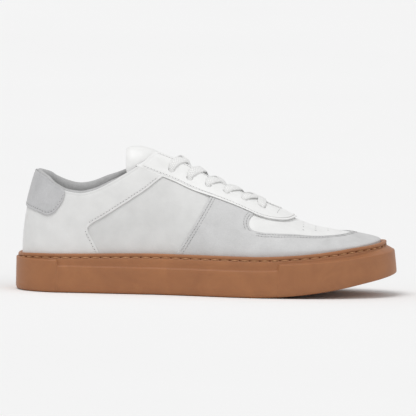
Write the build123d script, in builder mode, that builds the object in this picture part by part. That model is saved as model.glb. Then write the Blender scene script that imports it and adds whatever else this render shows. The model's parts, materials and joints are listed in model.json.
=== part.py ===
"""Low-top leather court shoe, right foot, on a stitched rubber cup sole.

Millimetres. +X is towards the toe, +Z is up and the outer (lateral) side of the foot is at -Y.
The origin is on the ground, below the middle of the sole.

The upper is a set of concentric skins over one foot shape. hood(inset) is that shape, shrunk by
inset: 0 is the outside of the outermost leather, and larger insets are the layers below it.
"""

import os
from functools import lru_cache
from math import asin, atan2, cos, degrees, radians, sin, sqrt, tan

from build123d import *

os.makedirs("parts", exist_ok=True)

# ---------------------------------------------------------------- driving dimensions

# Foot shape. The two ends turn round as superellipses.
HEEL_END = -146.5
HEEL_TURN = -108.0
TOE_END = 138.0
TOE_TURN = 50.0
PLAN_POWER = 2.2
ARCH_POWER_Y = 1.9
ARCH_POWER_Z = 1.7
VAMP_TOP = 56.5
INSTEP_SLOPE = 0.47
INSTEP_FRONT = 80.0
INSTEP_BACK = -78.0
SPINE_SHIFT = 7.0
ROOT_Z = -2.0
ARCH_ANGLES = (0, 12, 25, 38, 50, 62, 76, 90, 104, 118, 130, 142, 155, 168, 180)

# Sole levels: height on the flat, and the radius of the toe spring that follows it.
SPRING_START = 30.0
GROUND = (0.0, 390.0)
TREAD = (1.5, 388.5)
CUP_FLOOR = (5.0, 385.0)
FILLER_TOP = (14.0, 376.0)
BOARD_TOP = (16.0, 374.0)
FOOTBED_TOP = (20.0, 370.0)
LEDGE = (21.0, 400.0)
HEEL_PANEL_TOP = (25.6, 400.0)
TOE_PANEL_TOP = (26.2, 640.0)
RIM = (32.2, 500.0)
GROOVE_LOW = (28.3, 500.0)
GROOVE_HIGH = (29.9, 500.0)
FEATHER_RISE = 2.5

# Sole tiers: how far each stands out beyond the foot shape at the sides, heel and toe.
LIP = (2.2, 2.0, 3.5)
GROOVE_DEPTH = 0.6
WALL = (4.0, 2.9, 10.0)
HEEL_PANEL = (4.6, 3.5, 10.0)
TOE_PANEL = (4.6, 3.5, 12.0)
HEEL_PANEL_FRONT = -117.6
TOE_PANEL_REAR = 56.5

# Layers of the upper, as insets from the outermost leather.
OVERLAY = 1.2
BASE = 2.4
BACKING = 3.6
LINING = 4.8
INSIDE = 5.8
COLLAR_LINING = 8.0
COLLAR_INSIDE = 9.0
TONGUE_TOP = 10.4
TONGUE_FOAM = 11.6
TONGUE_LINING = 13.9
TONGUE_BOTTOM = 15.0

COLLAR_ZONE = (56.0, -62.0)
COLLAR_FOLD = 1.2
VAMP_REAR = 15.0
HEEL_COUNTER_FRONT = -84.0
TOE_PUFF_REAR = 104.0

# Throat, eyelets and lace.
THROAT_FRONT = 56.5
THROAT_HALF = 9.0
THROAT_HALF_TOP = 12.5
EYELETS = 6
EYELET_FRONT = 42.6
EYELET_PITCH = 14.3
EYELET_SPREAD = 21.0
EYELET_SPREAD_STEP = -0.9
EYELET_RADIUS = 2.2
LACE_RADIUS = 1.5
LACE_ABOVE = -1.9
LACE_BELOW = 7.6
LACE_OVER = 0.6
LACE_UNDER = 4.6
AGLET_RADIUS = 1.7
AGLET_LENGTH = 20.0

STITCH = (5.6, 0.8, 1.0)
STITCHES = 94
SIDE = 90.0


# ---------------------------------------------------------------- the foot shape


def ramp(rise, softness):
    """0 below zero and rise above it, with a rounded bend."""
    return (rise + sqrt(rise * rise + softness * softness)) / 2


def step(x, start, stop):
    """0 before start, 1 after stop and a smooth rise between."""
    t = min(max((x - start) / (stop - start), 0), 1)
    return t * t * (3 - 2 * t)


def level(x, height_and_radius):
    """Height of a sole level at x: flat, then the arc of the toe spring."""
    height, radius = height_and_radius
    run = max(x - SPRING_START, 0)
    return height + radius - sqrt(radius * radius - run * run)


def spine(x):
    """Y of the shoe's middle line, which swings inwards at the toe."""
    return SPINE_SHIFT * step(x, -20, 100)


def reach(x, side):
    """Distance from the middle line to the foot's edge, before the ends turn round."""
    if side < 0:
        return 33.5 + 2.0 * step(x, -110, -50) + 15.5 * step(x, -50, 45) + spine(x)
    return 33.5 - 1.5 * step(x, -110, -35) + 16.0 * step(x, -35, 62) - spine(x)


def crest(x):
    """Height of the foot shape along its middle line."""
    rise = ramp(INSTEP_SLOPE * (INSTEP_FRONT - x), 5)
    return VAMP_TOP + rise - ramp(INSTEP_SLOPE * (INSTEP_BACK - x), 8)


def feather(x):
    """Height of the foot shape's widest line, just above the rim of the sole."""
    return level(x, RIM) + FEATHER_RISE * (1 - step(x, 60, 135))


def end_turn(x, inset):
    """0 along the shoe, and up to 1 at the end of the heel or the toe."""
    if x < HEEL_TURN:
        return (HEEL_TURN - x) / (HEEL_TURN - HEEL_END - inset)
    if x > TOE_TURN:
        return (x - TOE_TURN) / (TOE_END - inset - TOE_TURN)
    return 0.0


def skin(x, across, inset):
    """Point on a layer, with across its distance from the middle line, minus towards -Y."""
    side = -1 if across < 0 else 1
    turn = end_turn(x, inset) ** PLAN_POWER
    share = min(abs(across) / (reach(x, side) - inset), 1) ** PLAN_POWER
    out = min((turn + share) ** (1 / PLAN_POWER), 1)
    rise = (1 - out**ARCH_POWER_Y) ** (1 / ARCH_POWER_Z)
    height = feather(x) + (crest(x) - inset - feather(x)) * rise
    return Vector(x, spine(x) + across, height)


def skin_normal(x, across):
    """Outward direction of the outermost layer."""
    d = 0.05
    along = skin(x + d, across, 0) - skin(x - d, across, 0)
    over = skin(x, across + d, 0) - skin(x, across - d, 0)
    return along.cross(over).normalized()


def stations(inset):
    """Where the cross-sections of the foot shape stand, closer together at the two ends."""
    heel = HEEL_TURN - HEEL_END - inset
    toe = TOE_END - inset - TOE_TURN
    behind = [HEEL_TURN - heel * u for u in (0.985, 0.94, 0.86, 0.74, 0.58, 0.38, 0.15)]
    middle = [-90, -65, -40, -15, 10, 32]
    ahead = [TOE_TURN + toe * u for u in (0, 0.2, 0.38, 0.54, 0.68, 0.79, 0.88, 0.94, 0.985)]
    return behind + middle + ahead


@lru_cache
def hood(inset):
    """The foot shape as a solid, with upright walls below its widest line."""
    with BuildPart() as shape:
        for x in stations(inset):
            turned = (1 - end_turn(x, inset) ** PLAN_POWER) ** (1 / PLAN_POWER)
            points = []
            for angle in ARCH_ANGLES:
                side = -1 if angle < 90 else 1
                share = abs(cos(radians(angle))) ** (2 / ARCH_POWER_Y) * turned
                point = skin(x, side * share * (reach(x, side) - inset), inset)
                points.append((point.Y, point.Z))
            with BuildSketch(Plane.YZ.offset(x)):
                with BuildLine():
                    add(Edge.make_spline(points, parameters=[angle / 180 for angle in ARCH_ANGLES]))
                    first, last = points[0], points[-1]
                    Polyline(last, (last[0], ROOT_Z), (first[0], ROOT_Z), first)
                make_face()
        loft()
    return shape.part


# ---------------------------------------------------------------- cutting shapes


def side_prism(*points):
    """A side-view outline, carried right across the shoe."""
    with BuildPart() as prism:
        with BuildSketch(Plane.XZ):
            with BuildLine():
                Polyline(*points, close=True)
            make_face()
        extrude(amount=SIDE, both=True)
    return prism.part


def slab(low, high):
    """Everything between two sole levels."""
    with BuildPart() as prism:
        with BuildSketch(Plane.XZ):
            with BuildLine():
                ends = []
                for height, radius in (low, high):
                    Line((-170, height), (SPRING_START, height))
                    sweep_angle = degrees(asin((165 - SPRING_START) / radius))
                    spring = JernArc((SPRING_START, height), (1, 0), radius, sweep_angle)
                    ends.append(spring @ 1)
                Line(*ends)
                Line((-170, low[0]), (-170, high[0]))
            make_face()
        extrude(amount=SIDE, both=True)
    return prism.part


@lru_cache
def layer(outer, inner):
    """A skin of the upper between two insets, from the lasting board up."""
    with BuildPart() as wall:
        add(hood(outer))
        add(hood(inner), mode=Mode.SUBTRACT)
        add(slab(FILLER_TOP, (150, 700)), mode=Mode.INTERSECT)
    return wall.part


def widths_prism(widths):
    """A plan outline given as (x, distance either side of the middle line), carried upwards."""
    with BuildPart() as prism:
        with BuildSketch():
            with BuildLine():
                near = [(x, spine(x) - half) for x, half in widths]
                far = [(x, spine(x) + half) for x, half in reversed(widths)]
                Polyline(*near, *far, close=True)
            make_face()
        extrude(amount=160)
    return prism.part


def footprint(tier):
    """Plan outline of the foot shape grown by (sides, heel, toe)."""
    sides, heel, toe = tier
    angles = [radians(a) for a in range(0, 90, 15)]
    turns = [(cos(a) ** (2 / PLAN_POWER), sin(a) ** (2 / PLAN_POWER)) for a in angles]
    behind = [(HEEL_TURN - (HEEL_TURN - HEEL_END + heel) * u, q) for u, q in turns]
    ahead = [(TOE_TURN + (TOE_END + toe - TOE_TURN) * u, q) for u, q in reversed(turns)]
    track = behind + [(x, 1) for x in (HEEL_TURN, -80, -52, -25, 0, 25, TOE_TURN)] + ahead
    lateral = [(x, spine(x) - q * (reach(x, -1) + sides)) for x, q in track]
    medial = [(x, spine(x) + q * (reach(x, 1) + sides)) for x, q in track[-2:0:-1]]
    with BuildSketch() as outline:
        with BuildLine():
            Spline(*lateral, *medial, periodic=True)
        make_face()
    return outline.sketch


def tier(grown, low, high):
    """One tier of the sole: a plan outline between two levels."""
    with BuildPart() as block:
        add(footprint(grown))
        extrude(amount=80, both=True)
        add(slab(low, high), mode=Mode.INTERSECT)
    return block.part


LATERAL_TOPLINE = [(-170, 97), (-142, 97), (-129, 90), (-113, 80), (-99, 78), (-83, 83.4)]
MEDIAL_TOPLINE = [(-170, 97), (-142, 97), (-129, 91), (-113, 83), (-99, 81), (-83, 86)]
FACING_TOPLINE = [(-64, 94.5), (-50, 104), (-36, 109.5), (-30, 140), (170, 140), (170, -5), (-170, -5)]

with BuildPart() as below_topline:
    for depth, points in ((SIDE, LATERAL_TOPLINE), (-SIDE, MEDIAL_TOPLINE)):
        with BuildSketch(Plane.XZ):
            with BuildLine():
                Polyline(*points, *FACING_TOPLINE, close=True)
            make_face()
        extrude(amount=depth)

THROAT = [(-120, THROAT_HALF_TOP), (-60, THROAT_HALF_TOP), (THROAT_FRONT - 8, THROAT_HALF)]
THROAT += [(THROAT_FRONT - 3, THROAT_HALF * 0.75), (THROAT_FRONT, THROAT_HALF * 0.3)]
throat = widths_prism(THROAT)


def eyelet(number, side):
    """(x, distance from the middle line) of an eyelet, number 0 being nearest the toe."""
    return (
        EYELET_FRONT - EYELET_PITCH * number,
        side * (EYELET_SPREAD + EYELET_SPREAD_STEP * number),
    )


with BuildPart() as eyelet_holes:
    for number in range(EYELETS):
        for side in (-1, 1):
            spot = eyelet(number, side)
            with Locations(Plane(skin(*spot, 0), z_dir=skin_normal(*spot))):
                Cylinder(EYELET_RADIUS, 22)


def finish(piece, name):
    """Names a piece and writes it."""
    piece.part.label = name
    export_step(piece.part, f"parts/{name}.step", write_pcurves=False)


# ---------------------------------------------------------------- sole unit

with BuildPart() as tread:
    for x in range(-132, 130, 11):
        with BuildSketch():
            with BuildLine():
                Polyline((x, -60), (x + 14, 0), (x, 60), (x + 3, 60), (x + 17, 0), (x + 3, -60),
                         close=True)
            make_face()
        extrude(amount=40)
    add(tier((-3, -3, 0), (-1, 391), TREAD), mode=Mode.INTERSECT)

with BuildPart() as cupsole:
    add(tier(LIP, GROUND, RIM))
    add(tier(WALL, GROUND, LEDGE))
    add(tier(HEEL_PANEL, GROUND, HEEL_PANEL_TOP) & side_prism(
        (-170, -5), (HEEL_PANEL_FRONT, -5), (HEEL_PANEL_FRONT, 60), (-170, 60)))
    add(tier(TOE_PANEL, GROUND, TOE_PANEL_TOP) & side_prism(
        (TOE_PANEL_REAR, -5), (170, -5), (170, 60), (TOE_PANEL_REAR, 60)))
    add(hood(OVERLAY) & slab(CUP_FLOOR, (60, 500)), mode=Mode.SUBTRACT)
    groove_bed = tuple(grow - GROOVE_DEPTH for grow in LIP)
    outside = tuple(grow + 3 for grow in LIP)
    add(tier(outside, GROOVE_LOW, GROOVE_HIGH) - tier(groove_bed, GROOVE_LOW, GROOVE_HIGH),
        mode=Mode.SUBTRACT)
    add(tread.part, mode=Mode.SUBTRACT)
finish(cupsole, "cupsole")

with BuildPart() as midsole_filler:
    add(hood(OVERLAY))
    add(slab(CUP_FLOOR, FILLER_TOP), mode=Mode.INTERSECT)
finish(midsole_filler, "midsole_filler")

with BuildPart() as lasting_board:
    add(hood(LINING))
    add(slab(FILLER_TOP, BOARD_TOP), mode=Mode.INTERSECT)
finish(lasting_board, "lasting_board")

with BuildPart() as sockliner:
    add(hood(INSIDE))
    add(slab(BOARD_TOP, FOOTBED_TOP), mode=Mode.INTERSECT)
finish(sockliner, "sockliner")

with BuildPart() as sole_stitching:
    seat = -GROOVE_DEPTH + STITCH[1] / 2 + 0.1
    seam = footprint(tuple(grow + seat for grow in LIP)).wire()
    for i in range(STITCHES):
        point = seam @ (i / STITCHES)
        heading = seam % (i / STITCHES)
        height = level(point.X, GROOVE_LOW) + 0.8
        with Locations(Location((point.X, point.Y, height), (0, 0, degrees(atan2(heading.Y, heading.X))))):
            Box(*STITCH)
finish(sole_stitching, "sole_stitching")

# ---------------------------------------------------------------- base leather

with BuildPart() as vamp:
    add(layer(BASE, BACKING))
    add(side_prism((VAMP_REAR, -5), (170, -5), (170, 140), (VAMP_REAR, 140)), mode=Mode.INTERSECT)
    add(throat, mode=Mode.SUBTRACT)
    add(eyelet_holes.part, mode=Mode.SUBTRACT)
    for row, x in enumerate((75.5, 85.2, 94.9, 104.6)):
        holes = 9 - 2 * row
        with Locations(*[(x, spine(x) + 7.6 * (i - (holes - 1) / 2), 50) for i in range(holes)]):
            Cylinder(0.8, 40, mode=Mode.SUBTRACT)
finish(vamp, "vamp")

with BuildPart() as quarters:
    add(layer(BASE, BACKING))
    add(side_prism((-170, -5), (VAMP_REAR, -5), (VAMP_REAR, 140), (-170, 140)), mode=Mode.INTERSECT)
    add(below_topline.part, mode=Mode.INTERSECT)
    add(throat, mode=Mode.SUBTRACT)
    add(eyelet_holes.part, mode=Mode.SUBTRACT)


def halves(piece, name):
    """Parts a piece at the heel seam and the throat, and writes its two sides."""
    for depth, label in ((-SIDE, f"lateral_{name}"), (SIDE, f"medial_{name}")):
        with BuildPart() as half:
            with Locations((0, depth / 2, 80)):
                Box(400, SIDE, 200)
            add(piece.part, mode=Mode.INTERSECT)
        finish(half, label)


halves(quarters, "quarter")

# ---------------------------------------------------------------- overlays

MUDGUARD_REAR = [(5, 86), (1.8, 77.5), (-3.7, 67), (-9.7, 56.3), (-22.9, 34.5), (-27, 10)]
WINDOW = [(32, 0.80), (35.5, 0.865), (53, 0.84), (73, 0.74), (93, 0.60), (104, 0.445), (111, 0.2)]

with BuildPart() as window:
    with BuildSketch():
        with BuildLine():
            near = [(x, spine(x) - share * reach(x, -1)) for x, share in WINDOW]
            far = [(x, spine(x) + share * reach(x, 1)) for x, share in reversed(WINDOW)]
            Spline(*near, (114.4, spine(114.4)), *far)
            Line(far[-1], near[0])
        make_face()
    extrude(amount=160)

with BuildPart() as forefoot_overlay:
    add(layer(OVERLAY, BASE))
    add(side_prism(*MUDGUARD_REAR, (170, 10), (170, 86)), mode=Mode.INTERSECT)
    add(window.part, mode=Mode.SUBTRACT)
    add(throat, mode=Mode.SUBTRACT)
    add(eyelet_holes.part, mode=Mode.SUBTRACT)
finish(forefoot_overlay, "forefoot_overlay")

HEEL_PANEL_EDGE = [(-30, 96), (-61, 75), (-69, 69.7), (-80, 62.6), (-91.4, 55), (-94.3, 50.5)]
HEEL_PANEL_EDGE += [(-92.9, 46.6), (-89, 39.3), (-83, 28), (-78, 10)]

with BuildPart() as heel_panels:
    add(layer(OVERLAY, BASE))
    add(side_prism(*HEEL_PANEL_EDGE, (-170, 10), (-170, 140), (-30, 140)), mode=Mode.INTERSECT)
    add(below_topline.part, mode=Mode.INTERSECT)
    add(throat, mode=Mode.SUBTRACT)
    add(eyelet_holes.part, mode=Mode.SUBTRACT)
halves(heel_panels, "heel_panel")

HEEL_TAB_EDGE = [(-170, 66), (-143.3, 65.8), (-135.7, 63.1), (-128.7, 60.6), (-125.6, 60.3)]
HEEL_TAB_EDGE += [(-121.6, 61.9), (-118.2, 65.6), (-113.9, 72.3), (-112, 80), (-112, 120)]

with BuildPart() as heel_tab:
    add(layer(0, OVERLAY))
    add(side_prism(*HEEL_TAB_EDGE, (-170, 120)), mode=Mode.INTERSECT)
    add(below_topline.part, mode=Mode.INTERSECT)
finish(heel_tab, "heel_tab")

STAY = [(-70, 20), (-57.5, 20.5), (-47, 20.8), (-35.7, 21.5), (-24.8, 22.8), (-13.6, 24.9), (2.3, 27.6)]
STAY += [(18, 30.2), (32, 33), (39, 34.6), (46, 34.8), (53, 33.4), (60, 29.7), (65.4, 23), (69, 12)]
STAY += [(70.5, 3)]

with BuildPart() as eyestay:
    add(layer(0, BASE))
    add(widths_prism(STAY), mode=Mode.INTERSECT)
    add(side_prism((-57.5, -5), (170, -5), (170, 140), (-57.5, 140)), mode=Mode.INTERSECT)
    add(below_topline.part, mode=Mode.INTERSECT)
    add(throat, mode=Mode.SUBTRACT)
    add(eyelet_holes.part, mode=Mode.SUBTRACT)
    add(forefoot_overlay.part, mode=Mode.SUBTRACT)
    add(heel_panels.part, mode=Mode.SUBTRACT)
finish(eyestay, "eyestay")

# ---------------------------------------------------------------- stiffeners, foam and linings

with BuildPart() as toe_puff:
    add(layer(BACKING, LINING))
    add(side_prism((TOE_PUFF_REAR, -5), (170, -5), (170, 140), (TOE_PUFF_REAR, 140)),
        mode=Mode.INTERSECT)
finish(toe_puff, "toe_puff")

with BuildPart() as heel_counter:
    add(layer(BACKING, LINING))
    add(side_prism((-170, -5), (HEEL_COUNTER_FRONT, -5), (HEEL_COUNTER_FRONT, COLLAR_ZONE[0]),
                   (-170, COLLAR_ZONE[0])), mode=Mode.INTERSECT)
finish(heel_counter, "heel_counter")

with BuildPart() as backers:
    add(layer(BACKING, LINING))
    add(widths_prism([(x, half - 2) for x, half in STAY if x < 50]), mode=Mode.INTERSECT)
    add(side_prism((-55, -5), (VAMP_REAR + 30, -5), (VAMP_REAR + 30, 140), (-55, 140)),
        mode=Mode.INTERSECT)
    add(below_topline.part, mode=Mode.INTERSECT)
    add(throat, mode=Mode.SUBTRACT)
    add(eyelet_holes.part, mode=Mode.SUBTRACT)
halves(backers, "eyelet_backer")

with BuildPart() as vamp_lining:
    add(layer(BACKING, INSIDE))
    add(side_prism((VAMP_REAR, -5), (170, -5), (170, 140), (VAMP_REAR, 140)), mode=Mode.INTERSECT)
    add(slab(BOARD_TOP, (150, 700)), mode=Mode.INTERSECT)
    for cutter in (throat, eyelet_holes.part, toe_puff.part, backers.part):
        add(cutter, mode=Mode.SUBTRACT)
finish(vamp_lining, "vamp_lining")

zone_low, zone_front = COLLAR_ZONE
collar_zone = side_prism((-170, zone_low), (zone_front, zone_low), (zone_front, 140), (-170, 140))

with BuildPart() as quarter_linings:
    add(layer(BACKING, INSIDE))
    add(side_prism((-170, -5), (VAMP_REAR, -5), (VAMP_REAR, 140), (-170, 140)), mode=Mode.INTERSECT)
    add(slab(BOARD_TOP, (150, 700)), mode=Mode.INTERSECT)
    add(below_topline.part, mode=Mode.INTERSECT)
    for cutter in (throat, eyelet_holes.part, heel_counter.part, backers.part, collar_zone):
        add(cutter, mode=Mode.SUBTRACT)
halves(quarter_linings, "quarter_lining")

with BuildPart() as collar_foam:
    add(layer(BACKING, COLLAR_LINING))
    add(side_prism((-170, zone_low + 1), (zone_front - 1, zone_low + 1), (zone_front - 1, 140),
                   (-170, 140)), mode=Mode.INTERSECT)
    add(below_topline.part.moved(Location((0, 0, -COLLAR_FOLD))), mode=Mode.INTERSECT)
finish(collar_foam, "collar_foam")

with BuildPart() as collar_lining:
    add(layer(BACKING, COLLAR_INSIDE))
    add(collar_zone, mode=Mode.INTERSECT)
    add(below_topline.part, mode=Mode.INTERSECT)
    add(collar_foam.part, mode=Mode.SUBTRACT)
finish(collar_lining, "collar_lining")

# ---------------------------------------------------------------- tongue

TONGUE_WIDTHS = [(-63, 13), (-60, 14.6), (-52, 15.2), (-30, 15.2), (-10, 16.8), (10, 19), (58, 21), (64, 19)]
tongue_strip = widths_prism(TONGUE_WIDTHS)
TONGUE_EDGE = [(-62, 40), (-56, 125), (80, 125), (80, 40)]


def tongue_layer(outer, inner):
    """One ply of the tongue."""
    with BuildPart() as ply:
        add(hood(outer))
        add(hood(inner), mode=Mode.SUBTRACT)
        add(tongue_strip, mode=Mode.INTERSECT)
        add(side_prism(*TONGUE_EDGE), mode=Mode.INTERSECT)
    return ply


for name, outer, inner in (
    ("tongue_face", TONGUE_TOP, TONGUE_FOAM),
    ("tongue_foam", TONGUE_FOAM, TONGUE_LINING),
    ("tongue_lining", TONGUE_LINING, TONGUE_BOTTOM),
):
    finish(tongue_layer(outer, inner), name)

# ---------------------------------------------------------------- lace


def strand(first_side, centre):
    """Route from the middle of the front bar, through the eyelets, to the tail in the shoe."""
    x, spread = eyelet(0, first_side)
    edge = THROAT_HALF + 1
    route = [skin(x, first_side * edge, LACE_ABOVE)]
    for number in range(EYELETS):
        side = first_side * (-1) ** number
        x, spread = eyelet(number, side)
        if number:
            route.append(skin(x + 2, side * edge, LACE_ABOVE))
        route.append(skin(x, spread, LACE_ABOVE))
        route.append(skin(x, spread, LACE_BELOW))
        if number < EYELETS - 1:
            route.append(skin(x - 3, side * edge, LACE_BELOW))
            route.append(skin(x - EYELET_PITCH / 2, side * 0.01, centre))
    route.append(skin(x - 5, side * 21.5, LACE_BELOW))
    tail = [(-42, 22, 60), (-45, 21.5, 42), (-35, 21, 27), (-16, 21.5, 22), (8, 24, 21.9)]
    tail += [(32, 26, 21.9), (52, 27, 23.2)]
    return route + [Vector(x, side * y, z) for x, y, z in tail]


def corner_radii(points):
    """The largest arc that each corner of a route has room for, up to 12 mm."""
    radii = []
    for before, corner, after in zip(points, points[1:], points[2:]):
        arriving = corner - before
        leaving = after - corner
        half_turn = radians(arriving.get_angle(leaving)) / 2
        radii.append(min(0.45 * min(arriving.length, leaving.length) / tan(half_turn), 12))
    return radii


lateral_first = strand(-1, LACE_OVER)
medial_first = strand(1, LACE_UNDER)
lace_route = list(reversed(lateral_first)) + medial_first

with BuildPart() as lace:
    with BuildLine() as lace_line:
        FilletPolyline(*lace_route, radius=corner_radii(lace_route))
    path = lace_line.wires()[0]
    with BuildSketch(Plane(path @ 0, z_dir=path % 0)):
        Circle(LACE_RADIUS)
    sweep(path=path)
finish(lace, "lace")
print("lace", round(path.length), "mm long, volume", round(lace.part.volume), "against",
      round(3.14159 * LACE_RADIUS**2 * path.length), "radii",
      [round(r, 1) for r in corner_radii(lace_route)])

for end, towards, name in (
    (lace_route[0], lace_route[1], "medial_lace_tip"),
    (lace_route[-1], lace_route[-2], "lateral_lace_tip"),
):
    with BuildPart(Plane(end, z_dir=end - towards)) as lace_tip:
        Cylinder(AGLET_RADIUS, AGLET_LENGTH, align=(Align.CENTER, Align.CENTER, Align.MIN))
    finish(lace_tip, name)
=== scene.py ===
"""Low-top leather court shoe: the looks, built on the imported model.

The upper's pieces lie on the same foot shape as the model's layers. Its formula is worked in
millimetres here, and every finished point is turned to metres once, by place().
"""

import json
from bisect import bisect_right
from math import acos, atan2, cos, pi, radians, sin, sqrt

import bmesh
import bpy
from mathutils import Matrix, Vector
from mathutils.kdtree import KDTree


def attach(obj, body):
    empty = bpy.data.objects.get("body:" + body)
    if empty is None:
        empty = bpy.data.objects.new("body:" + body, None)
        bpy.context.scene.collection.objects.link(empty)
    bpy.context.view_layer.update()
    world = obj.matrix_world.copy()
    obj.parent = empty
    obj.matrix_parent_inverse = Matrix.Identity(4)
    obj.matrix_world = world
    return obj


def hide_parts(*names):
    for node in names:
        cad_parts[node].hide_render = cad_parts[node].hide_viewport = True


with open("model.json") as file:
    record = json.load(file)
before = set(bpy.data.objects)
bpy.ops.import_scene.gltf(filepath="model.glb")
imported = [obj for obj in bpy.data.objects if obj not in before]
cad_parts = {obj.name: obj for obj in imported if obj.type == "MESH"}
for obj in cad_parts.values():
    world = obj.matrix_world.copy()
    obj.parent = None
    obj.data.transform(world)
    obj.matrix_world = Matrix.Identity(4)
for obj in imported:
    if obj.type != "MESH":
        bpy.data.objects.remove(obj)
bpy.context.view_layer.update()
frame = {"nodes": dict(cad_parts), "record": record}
MM = 0.001
SHOE, TONGUE = "shoe", "tongue"

# ---------------------------------------------------------------- the foot shape, in millimetres

HEEL_END, HEEL_TURN = -146.5, -108.0
TOE_END, TOE_TURN = 138.0, 50.0
PLAN_POWER, ARCH_POWER_Y, ARCH_POWER_Z = 2.2, 1.9, 1.7
VAMP_TOP = 56.5
INSTEP_SLOPE, INSTEP_FRONT, INSTEP_BACK = 0.47, 80.0, -78.0
SPINE_SHIFT = 7.0
SPRING_START = 30.0
RIM = (32.2, 500.0)
FEATHER_RISE = 2.5

# Layers, as insets from the outermost leather, and the thickness of the sewn-on pieces.
OVERLAY, BASE = 1.2, 2.4
TONGUE_TOP, TONGUE_BOTTOM = 10.2, 14.8
LEATHER, FACING = 1.2, 1.9

# Lengths of the track round the foot's edge: toe quarter, side and heel quarter.
TOE_ARC, HEEL_ARC = 110.0, 57.0
SIDE_RUN = TOE_TURN - HEEL_TURN
HALF_TRACK = TOE_ARC + SIDE_RUN + HEEL_ARC

THROAT_HALF = 9.0
EYELETS, EYELET_FRONT, EYELET_PITCH = 6, 42.6, 14.3
EYELET_SPREAD, EYELET_SPREAD_STEP = 21.0, -0.9
EYELET_RADIUS, PUNCH_DEPTH = 2.6, 14


def ramp(rise, softness):
    """0 below zero and rise above it, with a rounded bend."""
    return (rise + sqrt(rise * rise + softness * softness)) / 2


def step(x, start, stop):
    """0 before start, 1 after stop and a smooth rise between."""
    t = min(max((x - start) / (stop - start), 0), 1)
    return t * t * (3 - 2 * t)


def level(x, height_and_radius):
    """Height of a sole level at x: flat, then the arc of the toe spring."""
    height, radius = height_and_radius
    run = max(x - SPRING_START, 0)
    return height + radius - sqrt(radius * radius - run * run)


def spine(x):
    """Where the middle line runs at x: the forefoot swings to the medial side."""
    return SPINE_SHIFT * step(x, -20, 100)


def reach(x, side):
    """Distance from the middle line to the foot's edge, before the ends turn round."""
    if side < 0:
        return 33.5 + 2.0 * step(x, -110, -50) + 15.5 * step(x, -50, 45) + spine(x)
    return 33.5 - 1.5 * step(x, -110, -35) + 16.0 * step(x, -35, 62) - spine(x)


def crest(x):
    """Height of the ridge: a low vamp, the instep's slope and a level top at the back."""
    rise = ramp(INSTEP_SLOPE * (INSTEP_FRONT - x), 5)
    return VAMP_TOP + rise - ramp(INSTEP_SLOPE * (INSTEP_BACK - x), 8)


def feather(x):
    """Height at which the upper's side starts, just over the sole's rim."""
    return level(x, RIM) + FEATHER_RISE * (1 - step(x, 60, 135))


def end_turn(x, inset):
    """How far x has gone round the toe's or the heel's end: 0 at the side, 1 at the tip."""
    if x < HEEL_TURN:
        return (HEEL_TURN - x) / (HEEL_TURN - HEEL_END - inset)
    if x > TOE_TURN:
        return (x - TOE_TURN) / (TOE_END - inset - TOE_TURN)
    return 0.0


def track_side(s):
    """Side of the shoe and distance from the toe, for a track position that may pass either end."""
    if s < 0:
        return 1, -s
    if s > HALF_TRACK:
        return 1, 2 * HALF_TRACK - s
    return -1, s


def edge_shares(s):
    """(x share of the end's turn, share of the half width, which end) at a track position."""
    if s < TOE_ARC:
        angle = pi / 2 * s / TOE_ARC
        return cos(angle) ** (2 / PLAN_POWER), sin(angle) ** (2 / PLAN_POWER), "toe"
    if s > TOE_ARC + SIDE_RUN:
        angle = pi / 2 * (HALF_TRACK - s) / HEEL_ARC
        return cos(angle) ** (2 / PLAN_POWER), sin(angle) ** (2 / PLAN_POWER), "heel"
    return 0.0, 1.0, "side"


def plan(s, out, sides, heel, toe):
    """(x, y) at a share out of the way from the middle to the edge, grown at sides and ends."""
    side, s = track_side(s)
    turn, share, end = edge_shares(s)
    if end == "toe":
        x = TOE_TURN + out * turn * (TOE_END + toe - TOE_TURN)
    elif end == "heel":
        x = HEEL_TURN - out * turn * (HEEL_TURN - HEEL_END + heel)
    else:
        x = TOE_TURN - (s - TOE_ARC)
    return x, spine(x) + side * out * share * (reach(x, side) + sides)


def on_foot(s, t, inset):
    """Point of a layer at track position s, and t from 0 at the sole to 1 on the ridge."""
    out = max(cos(pi / 2 * max(t, 0)), 0) ** (2 / ARCH_POWER_Y)
    x, y = plan(s, out, -inset, -inset, -inset)
    rise = sin(pi / 2 * max(t, 0)) ** (2 / ARCH_POWER_Z)
    height = feather(x) + (crest(x) - inset - feather(x)) * rise
    return Vector((x, y, height + min(t, 0) * 100))


def track_of(x, turn, share):
    """Track position at x, for a turn of the end and a share of the half width."""
    angle = atan2(share ** (PLAN_POWER / 2), turn ** (PLAN_POWER / 2))
    if x > TOE_TURN:
        return TOE_ARC * angle / (pi / 2)
    if x < HEEL_TURN:
        return HALF_TRACK - HEEL_ARC * angle / (pi / 2)
    return TOE_ARC + TOE_TURN - x


def from_side(x, z, inset=0.0):
    """(s, t) on the outer side of the point seen from the side at (x, z)."""
    turn = end_turn(x, inset)
    height = crest(x) - inset - feather(x)
    if z < feather(x):
        share = (1 - min(turn, 1) ** PLAN_POWER) ** (1 / PLAN_POWER)
        return track_of(x, turn, share), (z - feather(x)) / 100
    rise = min((z - feather(x)) / height, 1)
    t = 2 / pi * acos(sqrt(max(1 - rise**ARCH_POWER_Z, 0)))
    out = max(cos(pi / 2 * t), 0) ** (2 / ARCH_POWER_Y)
    if out < turn:
        out = turn
        t = 2 / pi * acos(min(out ** (ARCH_POWER_Y / 2), 1))
    share = max(out**PLAN_POWER - turn**PLAN_POWER, 0) ** (1 / PLAN_POWER)
    return track_of(x, turn, share), t


def from_above(x, across, inset):
    """(s, t) on the outer side at (x, distance from the middle line)."""
    turn = end_turn(x, inset)
    share = min(across / (reach(x, -1) - inset), 1)
    out = min((turn**PLAN_POWER + share**PLAN_POWER) ** (1 / PLAN_POWER), 1)
    t = 2 / pi * acos(min(out ** (ARCH_POWER_Y / 2), 1))
    return track_of(x, turn, share), t


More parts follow.
